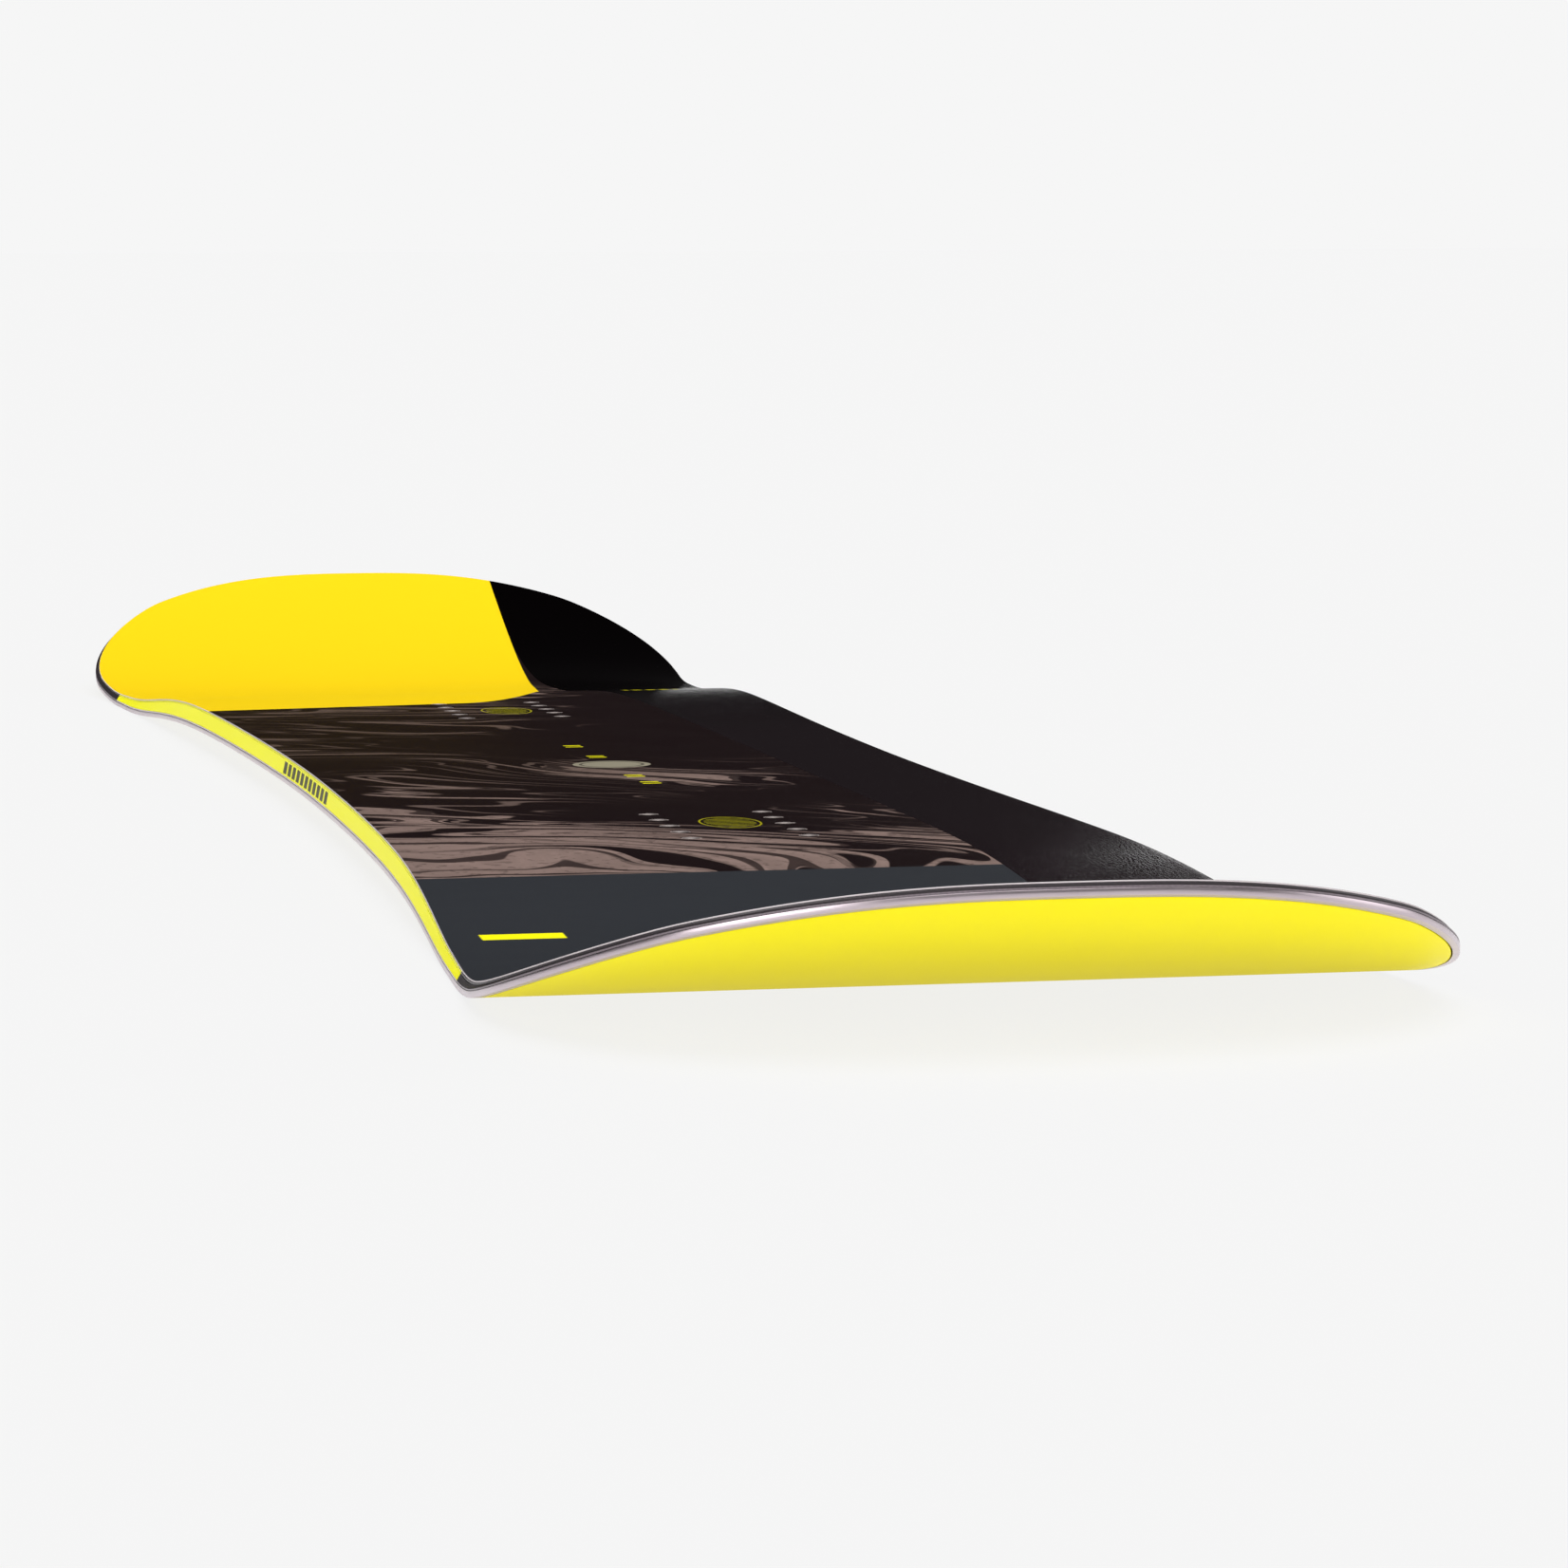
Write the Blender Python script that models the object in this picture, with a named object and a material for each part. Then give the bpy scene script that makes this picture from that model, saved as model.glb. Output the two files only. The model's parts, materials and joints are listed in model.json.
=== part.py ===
"""Twin-tip snowboard, built as the sandwich it is pressed from: a base sheet inside a steel edge whose
T anchors reach in over it, rubber foil, two glass laminates round a strip-laminated wood core, ABS
sidewalls and tip spacers, a topsheet, and twenty threaded binding inserts.

Metres, +Z up. X runs along the board, Y across it. The origin is on the ground at the board's centre.
"""

import math

import bmesh
import bpy
import numpy as np
from mathutils import Matrix, Vector

# --- Plan view of the deck, one quarter of which is drawn and mirrored ---
LENGTH = 1.460
WAIST_WIDTH = 0.2285
HULL_WIDTH = 0.284         # width where the sidecut and the tip curve would meet in a corner
TIP_DEPTH = 0.0785         # from that corner to the tip
TIP_POWER = 2.75           # bluntness of the tip curve
SIDECUT_POWER = 1.8        # 2 would be a plain parabola
# how far the rounded corner reaches along the sidecut, and across the tip
CORNER_REACH_SIDE, CORNER_REACH_TIP = 0.075, 0.040

# --- Side view ---
CONTACT_HALF = 0.520       # centre of each contact face
CONTACT_FACE = 0.020       # its length
CAMBER = 0.0078
CAMBER_POWER, CAMBER_EASE = 7.3, 3.0
TIP_RISE = 0.0442
TIP_RISE_POWER = 1.9
CENTRE_THICKNESS = 0.0098
TIP_THICKNESS = 0.0047
TAPER_START, TAPER_END = 0.310, 0.625
# cross-sections where the facets of the long curves meet; 0.20 to 0.31 is the flat binding platform
STATIONS = (0.0, 0.07, 0.14, 0.20, 0.31, 0.35, 0.39, 0.43, 0.47,
            CONTACT_HALF - CONTACT_FACE / 2, CONTACT_HALF + CONTACT_FACE / 2,
            0.56, 0.59, 0.62, 0.645, 0.67, 0.69, 0.71, 0.722)
TURN_STEP = math.radians(10)    # turn of the outline per facet round the tips
OUTLINE_SAMPLES = 400
SECTION_GAP = 0.0006            # cross-sections closer together than this are left out
SLOPE_STEP = 0.001

# --- Layers, as heights above the base's running face ---
GLUE = 0.0001                  # glue line between two pieces
BASE_TOP = 0.0012
ANCHOR_LOW, ANCHOR_HIGH = 0.0013, 0.0017
FOIL_LOW, FOIL_HIGH = 0.0018, 0.0020
EDGE_HIGH = 0.0020
LAMINATE_LOW, LAMINATE_HIGH = 0.0021, 0.0026
CORE_LOW = 0.0027
# and as depths below the deck
TOPSHEET_THICKNESS = 0.0006
TOP_LAMINATE_HIGH, TOP_LAMINATE_LOW = 0.0007, 0.0012
CORE_HIGH = 0.0013

# --- Rims, as distances outside the deck's outline (negative is inside) ---
EDGE_OUTER = 0.0017
EDGE_WIDTH = 0.0020
BASE_RIM = EDGE_OUTER - EDGE_WIDTH - GLUE
BOTTOM_LAMINATE_RIM = 0.0016
SPACER_RIM = 0.0010
SIDEWALL_TOP_RIM = 0.0004
TOP_LAMINATE_RIM = 0.0003
SIDEWALL_INNER = -0.0085
FOIL_INNER = -0.0065
SPACER_START = 0.535           # where sidewalls and core end and the tip spacers begin
RIM_END = 0.004                # half width of the small flat that closes each tip

# --- Steel anchors ---
ANCHOR_PITCH = 0.044
ANCHOR_LIMIT = 0.600
NECK_WIDTH, NECK_LENGTH = 0.005, 0.003
BAR_WIDTH, BAR_DEPTH = 0.014, 0.0026
ANCHOR_ROOT = 0.0005           # how far a neck is forged into the bead

# --- Wood core: strip borders measured from the centre line ---
STRIP_BORDERS = (0.010, 0.036, 0.062, 0.088)

# --- Binding inserts: M6, two rows of five under each foot ---
STANCE = 0.502
ROW_SPACING = 0.040
INSERT_PITCH = 0.020
INSERTS_PER_ROW = 5
BORE_RADIUS = 0.0025
BARREL_RADIUS = 0.0036
FLANGE_RADIUS = 0.0080
FLANGE_LOW, FLANGE_HIGH = 0.00275, 0.00375
BARREL_TOP = CENTRE_THICKNESS - 0.0001
INSERT_PLAY = 0.00015
INSERT_SIDES = 10
SHARP_ANGLE = math.radians(40)
CUTTER_BELOW, CUTTER_ABOVE = 0.001, 0.002   # how far the insert cutter overshoots core and deck

HALF_LENGTH = LENGTH / 2
KNOTS = STATIONS + (HALF_LENGTH + EDGE_OUTER,)

COLOURS = {                    # colour, roughness, metallic
    "base": ((0.88, 0.76, 0.04, 1), 0.30, 0.0),
    "steel": ((0.62, 0.60, 0.60, 1), 0.25, 1.0),
    "rubber": ((0.03, 0.03, 0.03, 1), 0.70, 0.0),
    "glass": ((0.70, 0.72, 0.66, 1), 0.40, 0.0),
    "light_wood": ((0.72, 0.52, 0.32, 1), 0.60, 0.0),
    "dark_wood": ((0.55, 0.34, 0.18, 1), 0.60, 0.0),
    "sidewall": ((0.90, 0.92, 0.03, 1), 0.35, 0.0),
    "spacer": ((0.04, 0.04, 0.045, 1), 0.45, 0.0),
    "topsheet": ((0.10, 0.09, 0.09, 1), 0.15, 0.0),
    "insert": ((0.66, 0.64, 0.60, 1), 0.35, 1.0),
}


def clear_scene():
    for item in list(bpy.data.objects):
        bpy.data.objects.remove(item, do_unlink=True)


def material(name):
    made = bpy.data.materials.get(name)
    if made is None:
        made = bpy.data.materials.new(name)
        made.use_nodes = True
        shader = made.node_tree.nodes["Principled BSDF"]
        colour, roughness, metallic = COLOURS[name]
        shader.inputs["Base Color"].default_value = colour
        shader.inputs["Roughness"].default_value = roughness
        shader.inputs["Metallic"].default_value = metallic
    return made


def add_object(name, mesh, finish):
    item = bpy.data.objects.new(name, mesh)
    if finish and not mesh.materials:
        mesh.materials.append(material(finish))
    bpy.context.scene.collection.objects.link(item)
    return item


def mesh_of(name, bm):
    """Close the bmesh into a mesh whose faces point outwards."""
    bmesh.ops.recalc_face_normals(bm, faces=bm.faces)
    mesh = bpy.data.meshes.new(name)
    bm.to_mesh(mesh)
    bm.free()
    return mesh


# ---------------------------------------------------------------- plan view

def quarter_outline():
    """Deck outline from the waist to the tip: sidecut, rounded corner, tip curve."""
    corner = np.array([HALF_LENGTH - TIP_DEPTH, HULL_WIDTH / 2])
    waist = WAIST_WIDTH / 2
    xs = np.linspace(0, corner[0] - CORNER_REACH_SIDE, OUTLINE_SAMPLES)
    side = np.stack([xs, waist + (corner[1] - waist) * (xs / corner[0]) ** SIDECUT_POWER], 1)
    ys = np.linspace(corner[1] - CORNER_REACH_TIP, 0, OUTLINE_SAMPLES)
    tip = np.stack([HALF_LENGTH - TIP_DEPTH * (ys / corner[1]) ** TIP_POWER, ys], 1)
    t = np.linspace(0, 1, OUTLINE_SAMPLES)[1:-1, None]
    rounded = (1 - t) ** 2 * side[-1] + 2 * t * (1 - t) * corner + t ** 2 * tip[0]
    return np.concatenate([side, rounded, tip])


def outward(points):
    """Unit normals of the quarter outline, pointing off the board."""
    run = np.gradient(points, axis=0)
    normals = np.stack([-run[:, 1], run[:, 0]], 1)
    return normals / np.linalg.norm(normals, axis=1)[:, None]


QUARTER = quarter_outline()
NORMALS = outward(QUARTER)


def rim(distance):
    """The quarter outline moved out by a distance."""
    return QUARTER + NORMALS * distance


def half_width(x, distance):
    """Half the board's width at x, for the outline moved out by a distance."""
    moved = rim(distance)
    return float(np.interp(abs(x), moved[:, 0], moved[:, 1], right=0.0))


def reach(distance):
    """How far along X the moved outline goes before the small flat at its tip."""
    moved = rim(distance)[::-1]
    return float(np.interp(RIM_END, moved[:, 1], moved[:, 0]))


def turning_points(distance):
    """X of the points round the tip where the moved outline has turned by equal steps."""
    turned = np.arctan2(NORMALS[:, 0], NORMALS[:, 1])
    steps = np.arange(TURN_STEP / 2, math.pi / 2, TURN_STEP)
    rows = np.searchsorted(np.maximum.accumulate(turned), steps)
    return rim(distance)[rows, 0]


# ---------------------------------------------------------------- side view

def base_curve(x):
    """Height of the running face: camber, contact face, tip rise."""
    inner = CONTACT_HALF - CONTACT_FACE / 2
    outer = CONTACT_HALF + CONTACT_FACE / 2
    if x <= inner:
        return CAMBER * (1 - (x / inner) ** CAMBER_POWER) ** CAMBER_EASE
    if x <= outer:
        return 0.0
    return TIP_RISE * ((x - outer) / (HALF_LENGTH - outer)) ** TIP_RISE_POWER


def thickness_curve(x):
    t = min(max((x - TAPER_START) / (TAPER_END - TAPER_START), 0), 1)
    eased = t * t * (3 - 2 * t)
    return CENTRE_THICKNESS + (TIP_THICKNESS - CENTRE_THICKNESS) * eased


BASE_KNOTS = [base_curve(x) for x in KNOTS]
THICKNESS_KNOTS = [thickness_curve(x) for x in KNOTS]


def above_base(x, height):
    """World height of a level measured up from the running face."""
    return float(np.interp(abs(x), KNOTS, BASE_KNOTS)) + height


def below_deck(x, depth):
    """World height of a level measured down from the deck."""
    return above_base(x, float(np.interp(abs(x), KNOTS, THICKNESS_KNOTS)) - depth)


def slope(x):
    """Rise of the board per metre along X, on the facet that holds x."""
    return (above_base(x + SLOPE_STEP, 0) - above_base(x - SLOPE_STEP, 0)) / (2 * SLOPE_STEP)


# ---------------------------------------------------------------- lofts

def sections_along(start, end, distances):
    """X of every cross-section from start to end: the stations, and the turning points of the rims."""
    fixed = sorted({s for x in STATIONS for s in (x, -x) if start < s < end} | {start, end})
    for distance in distances:
        for x in turning_points(distance):
            for s in (x, -x):
                if start < s < end and min(abs(s - f) for f in fixed) > SECTION_GAP:
                    fixed.append(s)
    return sorted(fixed)


def loft(name, sections, finish):
    """One closed body through cross-sections that have the same number of corners."""
    bm = bmesh.new()
    rings = [[bm.verts.new(point) for point in section] for section in sections]
    count = len(rings[0])
    for first, second in zip(rings, rings[1:]):
        for i in range(count):
            j = (i + 1) % count
            bm.faces.new((first[i], first[j], second[j], second[i]))
    bm.faces.new(rings[0])
    bm.faces.new(rings[-1])
    return add_object(name, mesh_of(name, bm), finish)


def sheet(name, distance, low, high, finish, start=None, end=None, turns=None):
    """A layer of the sandwich as wide as the board, between two heights."""
    end = reach(distance) if end is None else end
    start = -reach(distance) if start is None else start
    sections = []
    for x in sections_along(start, end, turns or [distance]):
        w = half_width(x, distance)
        sections.append([(x, -w, low(x)), (x, w, low(x)), (x, w, high(x)), (x, -w, high(x))])
    return loft(name, sections, finish)


def rail(name, side, inner, outer, low, high, finish, turns):
    """A strip that follows the rim on one side (+1 or -1) and wraps to the middle of both tips.

    Pieces that nest in plan share turns, the rims whose turning points they are faceted at, so that
    their chords stay parallel.
    """
    end, turn = reach(outer), reach(inner)
    half_gap = GLUE / 2
    xs = sections_along(-end, end, turns)
    wrap = 3 * GLUE
    xs = sorted({x for x in xs if not turn - wrap < abs(x) < turn + 2 * wrap}
                | {s * x for s in (1, -1) for x in (turn, turn + wrap)})
    sections = []
    for x in xs:
        a = max(half_width(x, inner), half_gap) if abs(x) <= turn else half_gap
        b = half_width(x, outer)
        corners = [(a, low(x)), (b, low(x)), (b, high(x)), (a, high(x))]
        sections.append([(x, side * y, z) for y, z in corners])
    return loft(name, sections, finish)


def combine(target, tool, operation):
    """Boolean with a helper body that isn't part of the board."""
    tool.hide_render = True
    tool.display_type = "WIRE"
    cut = target.modifiers.new(tool.name, "BOOLEAN")
    cut.object = tool
    cut.operation = operation
    cut.solver = "EXACT"


# ---------------------------------------------------------------- pieces

def base_sheet():
    sheet("base_sheet", BASE_RIM, lambda x: above_base(x, 0), lambda x: above_base(x, BASE_TOP), "base")


def anchor_blanks(name, side):
    """T anchors along one edge: a neck out of the bead and a bar across it."""
    bm = bmesh.new()
    xs = sections_along(-ANCHOR_LIMIT, ANCHOR_LIMIT, [])
    for x0, x1 in zip(xs, xs[1:]):
        count = round((x1 - x0) / ANCHOR_PITCH)
        for i in range(count):
            add_anchor(bm, x0 + (x1 - x0) * (i + 0.5) / count, side)
    return add_object(name, mesh_of(name, bm), None)


def add_anchor(bm, x, side):
    bead = half_width(x, EDGE_OUTER - EDGE_WIDTH)
    neck, bar = NECK_WIDTH / 2, BAR_WIDTH / 2
    joint = bead - NECK_LENGTH
    tip = joint - BAR_DEPTH
    plan = [(neck, bead + ANCHOR_ROOT), (neck, joint), (bar, joint), (bar, tip),
            (-bar, tip), (-bar, joint), (-neck, joint), (-neck, bead + ANCHOR_ROOT)]
    low, high = [], []
    for dx, y in plan:
        z = above_base(x, 0) + slope(x) * dx
        low.append(bm.verts.new((x + dx, side * y, z + ANCHOR_LOW)))
        high.append(bm.verts.new((x + dx, side * y, z + ANCHOR_HIGH)))
    bm.faces.new(low)
    bm.faces.new(high)
    for i in range(len(plan)):
        j = (i + 1) % len(plan)
        bm.faces.new((low[i], low[j], high[j], high[i]))


def steel_edge(name, side):
    bead = rail(name, side, EDGE_OUTER - EDGE_WIDTH, EDGE_OUTER,
                lambda x: above_base(x, 0), lambda x: above_base(x, EDGE_HIGH), "steel",
                [BASE_RIM, FOIL_INNER, EDGE_OUTER])
    combine(bead, anchor_blanks(name + "_anchors", side), "UNION")


def edge_foil(name, side):
    rail(name, side, FOIL_INNER, BASE_RIM,
         lambda x: above_base(x, FOIL_LOW), lambda x: above_base(x, FOIL_HIGH), "rubber",
         [BASE_RIM, FOIL_INNER])


def bottom_laminate():
    """Glass over base, anchors and foil: level on top, and thicker inside the foil."""
    plate = sheet("bottom_laminate", BOTTOM_LAMINATE_RIM, lambda x: above_base(x, LAMINATE_LOW),
                  lambda x: above_base(x, LAMINATE_HIGH), "glass")
    middle = (LAMINATE_LOW + LAMINATE_HIGH) / 2
    fill = sheet("laminate_fill", FOIL_INNER - 2 * GLUE, lambda x: above_base(x, ANCHOR_LOW),
                 lambda x: above_base(x, middle), None, turns=[FOIL_INNER])
    combine(plate, fill, "UNION")


def core_strips(cutter):
    """Wood strips laid side by side; the outer pair is sawn to the sidecut."""
    half_gap = GLUE / 2
    outer_rim = SIDEWALL_INNER - GLUE
    core_strip("core_strip_centre", 1, lambda x: half_gap - STRIP_BORDERS[0],
               lambda x: STRIP_BORDERS[0] - half_gap, "light_wood")
    for side, letter in ((1, "right"), (-1, "left")):
        for i, inner in enumerate(STRIP_BORDERS):
            last = i == len(STRIP_BORDERS) - 1
            outer = None if last else STRIP_BORDERS[i + 1]
            strip = core_strip(
                f"core_strip_{letter}_{i + 1}", side, lambda x, y=inner: y + half_gap,
                lambda x, y=outer: half_width(x, outer_rim) if y is None else y - half_gap,
                "light_wood" if i % 2 else "dark_wood")
            if inner < ROW_SPACING / 2 < (outer or HULL_WIDTH):
                combine(strip, cutter, "DIFFERENCE")


def core_strip(name, side, inner, outer, finish):
    end = SPACER_START - GLUE
    sections = []
    for x in sections_along(-end, end, []):
        a, b = side * inner(x), side * outer(x)
        low, high = above_base(x, CORE_LOW), below_deck(x, CORE_HIGH)
        sections.append([(x, a, low), (x, b, low), (x, b, high), (x, a, high)])
    return loft(name, sections, finish)


def sidewall(name, side):
    """ABS strip between the laminates, its outer face leaning in towards the deck."""
    end = SPACER_START - GLUE
    sections = []
    for x in sections_along(-end, end, []):
        low, high = above_base(x, CORE_LOW), below_deck(x, CORE_HIGH)
        corners = [(half_width(x, SIDEWALL_INNER), low), (half_width(x, BOTTOM_LAMINATE_RIM), low),
                   (half_width(x, SIDEWALL_TOP_RIM), high), (half_width(x, SIDEWALL_INNER), high)]
        sections.append([(x, side * y, z) for y, z in corners])
    loft(name, sections, "sidewall")


def tip_spacers():
    """ABS fillers that carry the sandwich out to the rim at nose and tail."""
    ends = (("tip_spacer_nose", SPACER_START, reach(SPACER_RIM)),
            ("tip_spacer_tail", -reach(SPACER_RIM), -SPACER_START))
    for name, start, end in ends:
        sheet(name, SPACER_RIM, lambda x: above_base(x, CORE_LOW),
              lambda x: below_deck(x, CORE_HIGH), "spacer", start, end)


def top_laminate(cutter):
    plate = sheet("top_laminate", TOP_LAMINATE_RIM, lambda x: below_deck(x, TOP_LAMINATE_LOW),
                  lambda x: below_deck(x, TOP_LAMINATE_HIGH), "glass")
    combine(plate, cutter, "DIFFERENCE")


def topsheet(cutter):
    plate = sheet("topsheet", 0.0, lambda x: below_deck(x, TOPSHEET_THICKNESS),
                  lambda x: below_deck(x, 0), "topsheet")
    combine(plate, cutter, "DIFFERENCE")


# ---------------------------------------------------------------- inserts

def turned(bm, profile):
    """Spin a closed profile of (radius, height) corners round Z."""
    ring = [bm.verts.new((r, 0, z)) for r, z in profile]
    edges = [bm.edges.new((ring[i - 1], ring[i])) for i in range(len(ring))]
    bmesh.ops.spin(bm, geom=ring + edges, axis=(0, 0, 1), cent=(0, 0, 0),
                   steps=INSERT_SIDES, angle=2 * math.pi, use_merge=True)


def insert_places():
    """Name and matrix of each insert, square to the platform that it is pressed into."""
    middle = (INSERTS_PER_ROW - 1) / 2
    for foot, x_side in (("front", 1), ("rear", -1)):
        for row, y_side in (("right", 1), ("left", -1)):
            for i in range(INSERTS_PER_ROW):
                x = x_side * STANCE / 2 + (i - middle) * INSERT_PITCH
                at = Vector((x, y_side * ROW_SPACING / 2, above_base(x, 0)))
                tilt = Matrix.Rotation(-math.atan(slope(x)), 4, "Y")
                yield f"insert_{foot}_{row}_{i + 1}", Matrix.Translation(at) @ tilt


def insert_mesh():
    """Flanged steel insert; the flange sits under the core and the barrel ends flush with the deck."""
    bm = bmesh.new()
    turned(bm, [(BORE_RADIUS, FLANGE_LOW), (FLANGE_RADIUS, FLANGE_LOW), (FLANGE_RADIUS, FLANGE_HIGH),
                (BARREL_RADIUS, FLANGE_HIGH), (BARREL_RADIUS, BARREL_TOP), (BORE_RADIUS, BARREL_TOP)])
    mesh = mesh_of("insert", bm)
    mesh.shade_smooth()
    mesh.set_sharp_from_angle(angle=SHARP_ANGLE)
    return mesh


def inserts():
    mesh = insert_mesh()
    for name, place in insert_places():
        add_object(name, mesh, "insert").matrix_world = place


def insert_cutter():
    """Holes for all the inserts: counterbore from below, clear hole right through the deck."""
    bm = bmesh.new()
    seat, hole = FLANGE_RADIUS + INSERT_PLAY, BARREL_RADIUS + INSERT_PLAY
    bottom, ledge = CORE_LOW - CUTTER_BELOW, FLANGE_HIGH + INSERT_PLAY
    top = CENTRE_THICKNESS + CUTTER_ABOVE
    for _, place in insert_places():
        rings = []
        for radius, height in ((seat, bottom), (seat, ledge), (hole, ledge), (hole, top)):
            ring = []
            for i in range(INSERT_SIDES):
                turn = 2 * math.pi * i / INSERT_SIDES
                point = Vector((radius * math.cos(turn), radius * math.sin(turn), height))
                ring.append(bm.verts.new(place @ point))
            rings.append(ring)
        for first, second in zip(rings, rings[1:]):
            for i in range(INSERT_SIDES):
                j = (i + 1) % INSERT_SIDES
                bm.faces.new((first[i], first[j], second[j], second[i]))
        bm.faces.new(rings[0])
        bm.faces.new(rings[-1])
    return add_object("insert_cutter", mesh_of("insert_cutter", bm), None)


def main():
    clear_scene()
    cutter = insert_cutter()
    base_sheet()
    for side, word in ((1, "right"), (-1, "left")):
        steel_edge(f"steel_edge_{word}", side)
        edge_foil(f"edge_foil_{word}", side)
        sidewall(f"sidewall_{word}", side)
    bottom_laminate()
    core_strips(cutter)
    tip_spacers()
    top_laminate(cutter)
    topsheet(cutter)
    inserts()


main()
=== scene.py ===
"""Looks of a twin-tip snowboard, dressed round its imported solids.

Metres, in the solids' own frame: X runs along the board to the nose, Y across it to the black band,
Z up, with z = 0 at the two contact faces of the base.
"""

import json
import math

import bmesh
import bpy
import numpy as np
from mathutils import Matrix, Vector


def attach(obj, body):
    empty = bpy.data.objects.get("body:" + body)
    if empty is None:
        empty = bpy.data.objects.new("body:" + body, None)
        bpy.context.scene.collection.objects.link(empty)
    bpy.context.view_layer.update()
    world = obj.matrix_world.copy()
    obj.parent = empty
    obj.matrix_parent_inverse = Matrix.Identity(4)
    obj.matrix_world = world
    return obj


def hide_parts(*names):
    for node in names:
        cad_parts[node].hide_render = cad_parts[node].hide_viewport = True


bl_info = {
    "name": "Twin-tip snowboard",
    "version": (1, 0, 0),
    "blender": (4, 5, 0),
    "location": "View3D > Sidebar > Snowboard",
    "description": "Builds the visible skin of a cambered twin-tip snowboard and a pale studio round it",
    "category": "Add Mesh",
}

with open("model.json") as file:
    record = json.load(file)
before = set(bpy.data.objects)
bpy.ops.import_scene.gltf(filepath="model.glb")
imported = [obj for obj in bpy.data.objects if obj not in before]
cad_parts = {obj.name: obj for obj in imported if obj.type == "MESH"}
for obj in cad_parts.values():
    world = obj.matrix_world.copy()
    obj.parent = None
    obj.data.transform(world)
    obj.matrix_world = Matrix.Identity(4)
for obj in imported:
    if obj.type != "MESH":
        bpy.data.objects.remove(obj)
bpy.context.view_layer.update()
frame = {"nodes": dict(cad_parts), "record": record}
BODY = "root"

# Levels in the sandwich, lower one first, in metres above the running face ...
BASE_TOP = 0.0012
ANCHOR_LOW, ANCHOR_HIGH = 0.0013, 0.0017
EDGE_HIGH = 0.0020
BOTTOM_GLASS = (0.0021, 0.0026)
CORE_LOW = 0.0027
# ... and below the deck
SHEET_BOTTOM = 0.0006
TOP_GLASS = (0.0012, 0.0007)
CORE_HIGH = 0.0013

# Rims, as distances outside the deck's outline
EDGE_OUTER = 0.0017
EDGE_INNER = -0.0003
BASE_RIM = -0.0008  # leaves a fine dark joint beside the steel
BOTTOM_GLASS_RIM = 0.0016
SPACER_FOOT, SPACER_HEAD = 0.0015, 0.0005
SIDEWALL_TOP_RIM = 0.0004
TOP_GLASS_RIMS = (0.0003, 0.0002)
SIDEWALL_INNER = -0.0085
SPACER_START, SPACER_GAP = 0.535, 0.0001

# Rounded rim of the topsheet, from its cut edge to its face: (distance inwards, depth below the deck)
SHEET_ROUND = ((0.0, SHEET_BOTTOM), (0.0, 0.00038), (0.00008, 0.00022), (0.00022, 0.0001),
               (0.00042, 0.00003), (0.0007, 0.0), (0.0030, 0.0))

# Binding inserts
INSERTS_PER_ROW = 5
FLANGE_LOW, FLANGE_HIGH = 0.00275, 0.00375
FLANGE_RADIUS = 0.0080
SINK_WIDTH, SINK_DEPTH = 0.0006, 0.0004
BARREL_DEPTH = 0.0001  # of the insert's top, below the deck
THREAD_START, THREAD_PITCH, THREAD_DEPTH = 0.0009, 0.001, 0.0003
HOLE_SIDES = 32
HOLE_PLAY = 0.00015
CELL = 0.006  # half of the square of deck that is drawn round each insert

# Outline and mesh
OUTLINE_SAMPLES = 3000  # for each of its three curves
JOINT_REACH = 0.008  # rounded to each side of the joint between corner and tip curve
JOINT_SAMPLES = 41
ROW_STEP = 0.008
TURN_STEP = math.radians(1.6)
FULL_WIDTH = 0.085  # half width from which the lengthwise lines stand at their full distance
SHARP_ANGLE = math.radians(35)

# Print on the deck, in the board's frame
PRINT_EDGE = 0.0002  # softness of a printed edge
BAND_START = 0.0662
NOSE_PANEL_START = 0.3745
TAIL_EDGE, TAIL_SLANT = -0.294785, 0.157
TAIL_MIDDLE, TAIL_HALF_WIDTH = -0.010, 0.078
TAIL_LENGTH = 0.42
OVAL_X, OVAL_Y = 0.2455, 0.002
OVAL_LENGTH, OVAL_WIDTH = 0.019, 0.0105
OVAL_BAR_PITCH = 0.0042
BAR_PAIRS = ((-0.065, 0.0), (-0.017, 0.001), (0.066, 0.001), (0.094, 0.002))
BAR_HALVES = (0.0010, 0.0034)
PAIR_HALF = 0.0030
NOSE_BAR, NOSE_BAR_HALVES = (0.4745, -0.1062), (0.0045, 0.0128)
DISC_X, DISC_Y = 0.017, 0.001
DISC_RADIUS, DISC_RING = 0.0148, (0.0112, 0.0124)
DASH_X, DASH_SPAN, DASH_PITCH = -0.392, (0.0775, 0.1023), 0.0062

# Ticks on the left sidewall
TICK_PITCH = 0.0126
TICK_SPAN = (-0.0504, 0.0882)
TICK_HEIGHTS = (0.0112, 0.0157)

# The floor stays just under the base, so that the two never share a plane
FLOOR_HEIGHT = -0.00002
BOUNCE_HEIGHT = -0.00004


def colour(red, green, blue):
    """A colour given in 8-bit display values, as the linear colour that Blender works in."""
    def linear(value):
        value /= 255
        return value / 12.92 if value <= 0.04045 else ((value + 0.055) / 1.055) ** 2.4
    return linear(red), linear(green), linear(blue)


def dimmed(shade, factor):
    """A colour at a part of its brightness."""
    return tuple(value * factor for value in shade)


def direction(azimuth, elevation):
    """Unit vector towards a place in the sky."""
    flat = math.cos(elevation)
    return Vector((flat * math.cos(azimuth), flat * math.sin(azimuth), math.sin(elevation)))


# ---------------- settings

def size(name, about, default, **more):
    """A setting in metres."""
    return bpy.props.FloatProperty(name=name, description=about, default=default, precision=5,
                                   subtype="DISTANCE", unit="LENGTH", **more)


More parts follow.
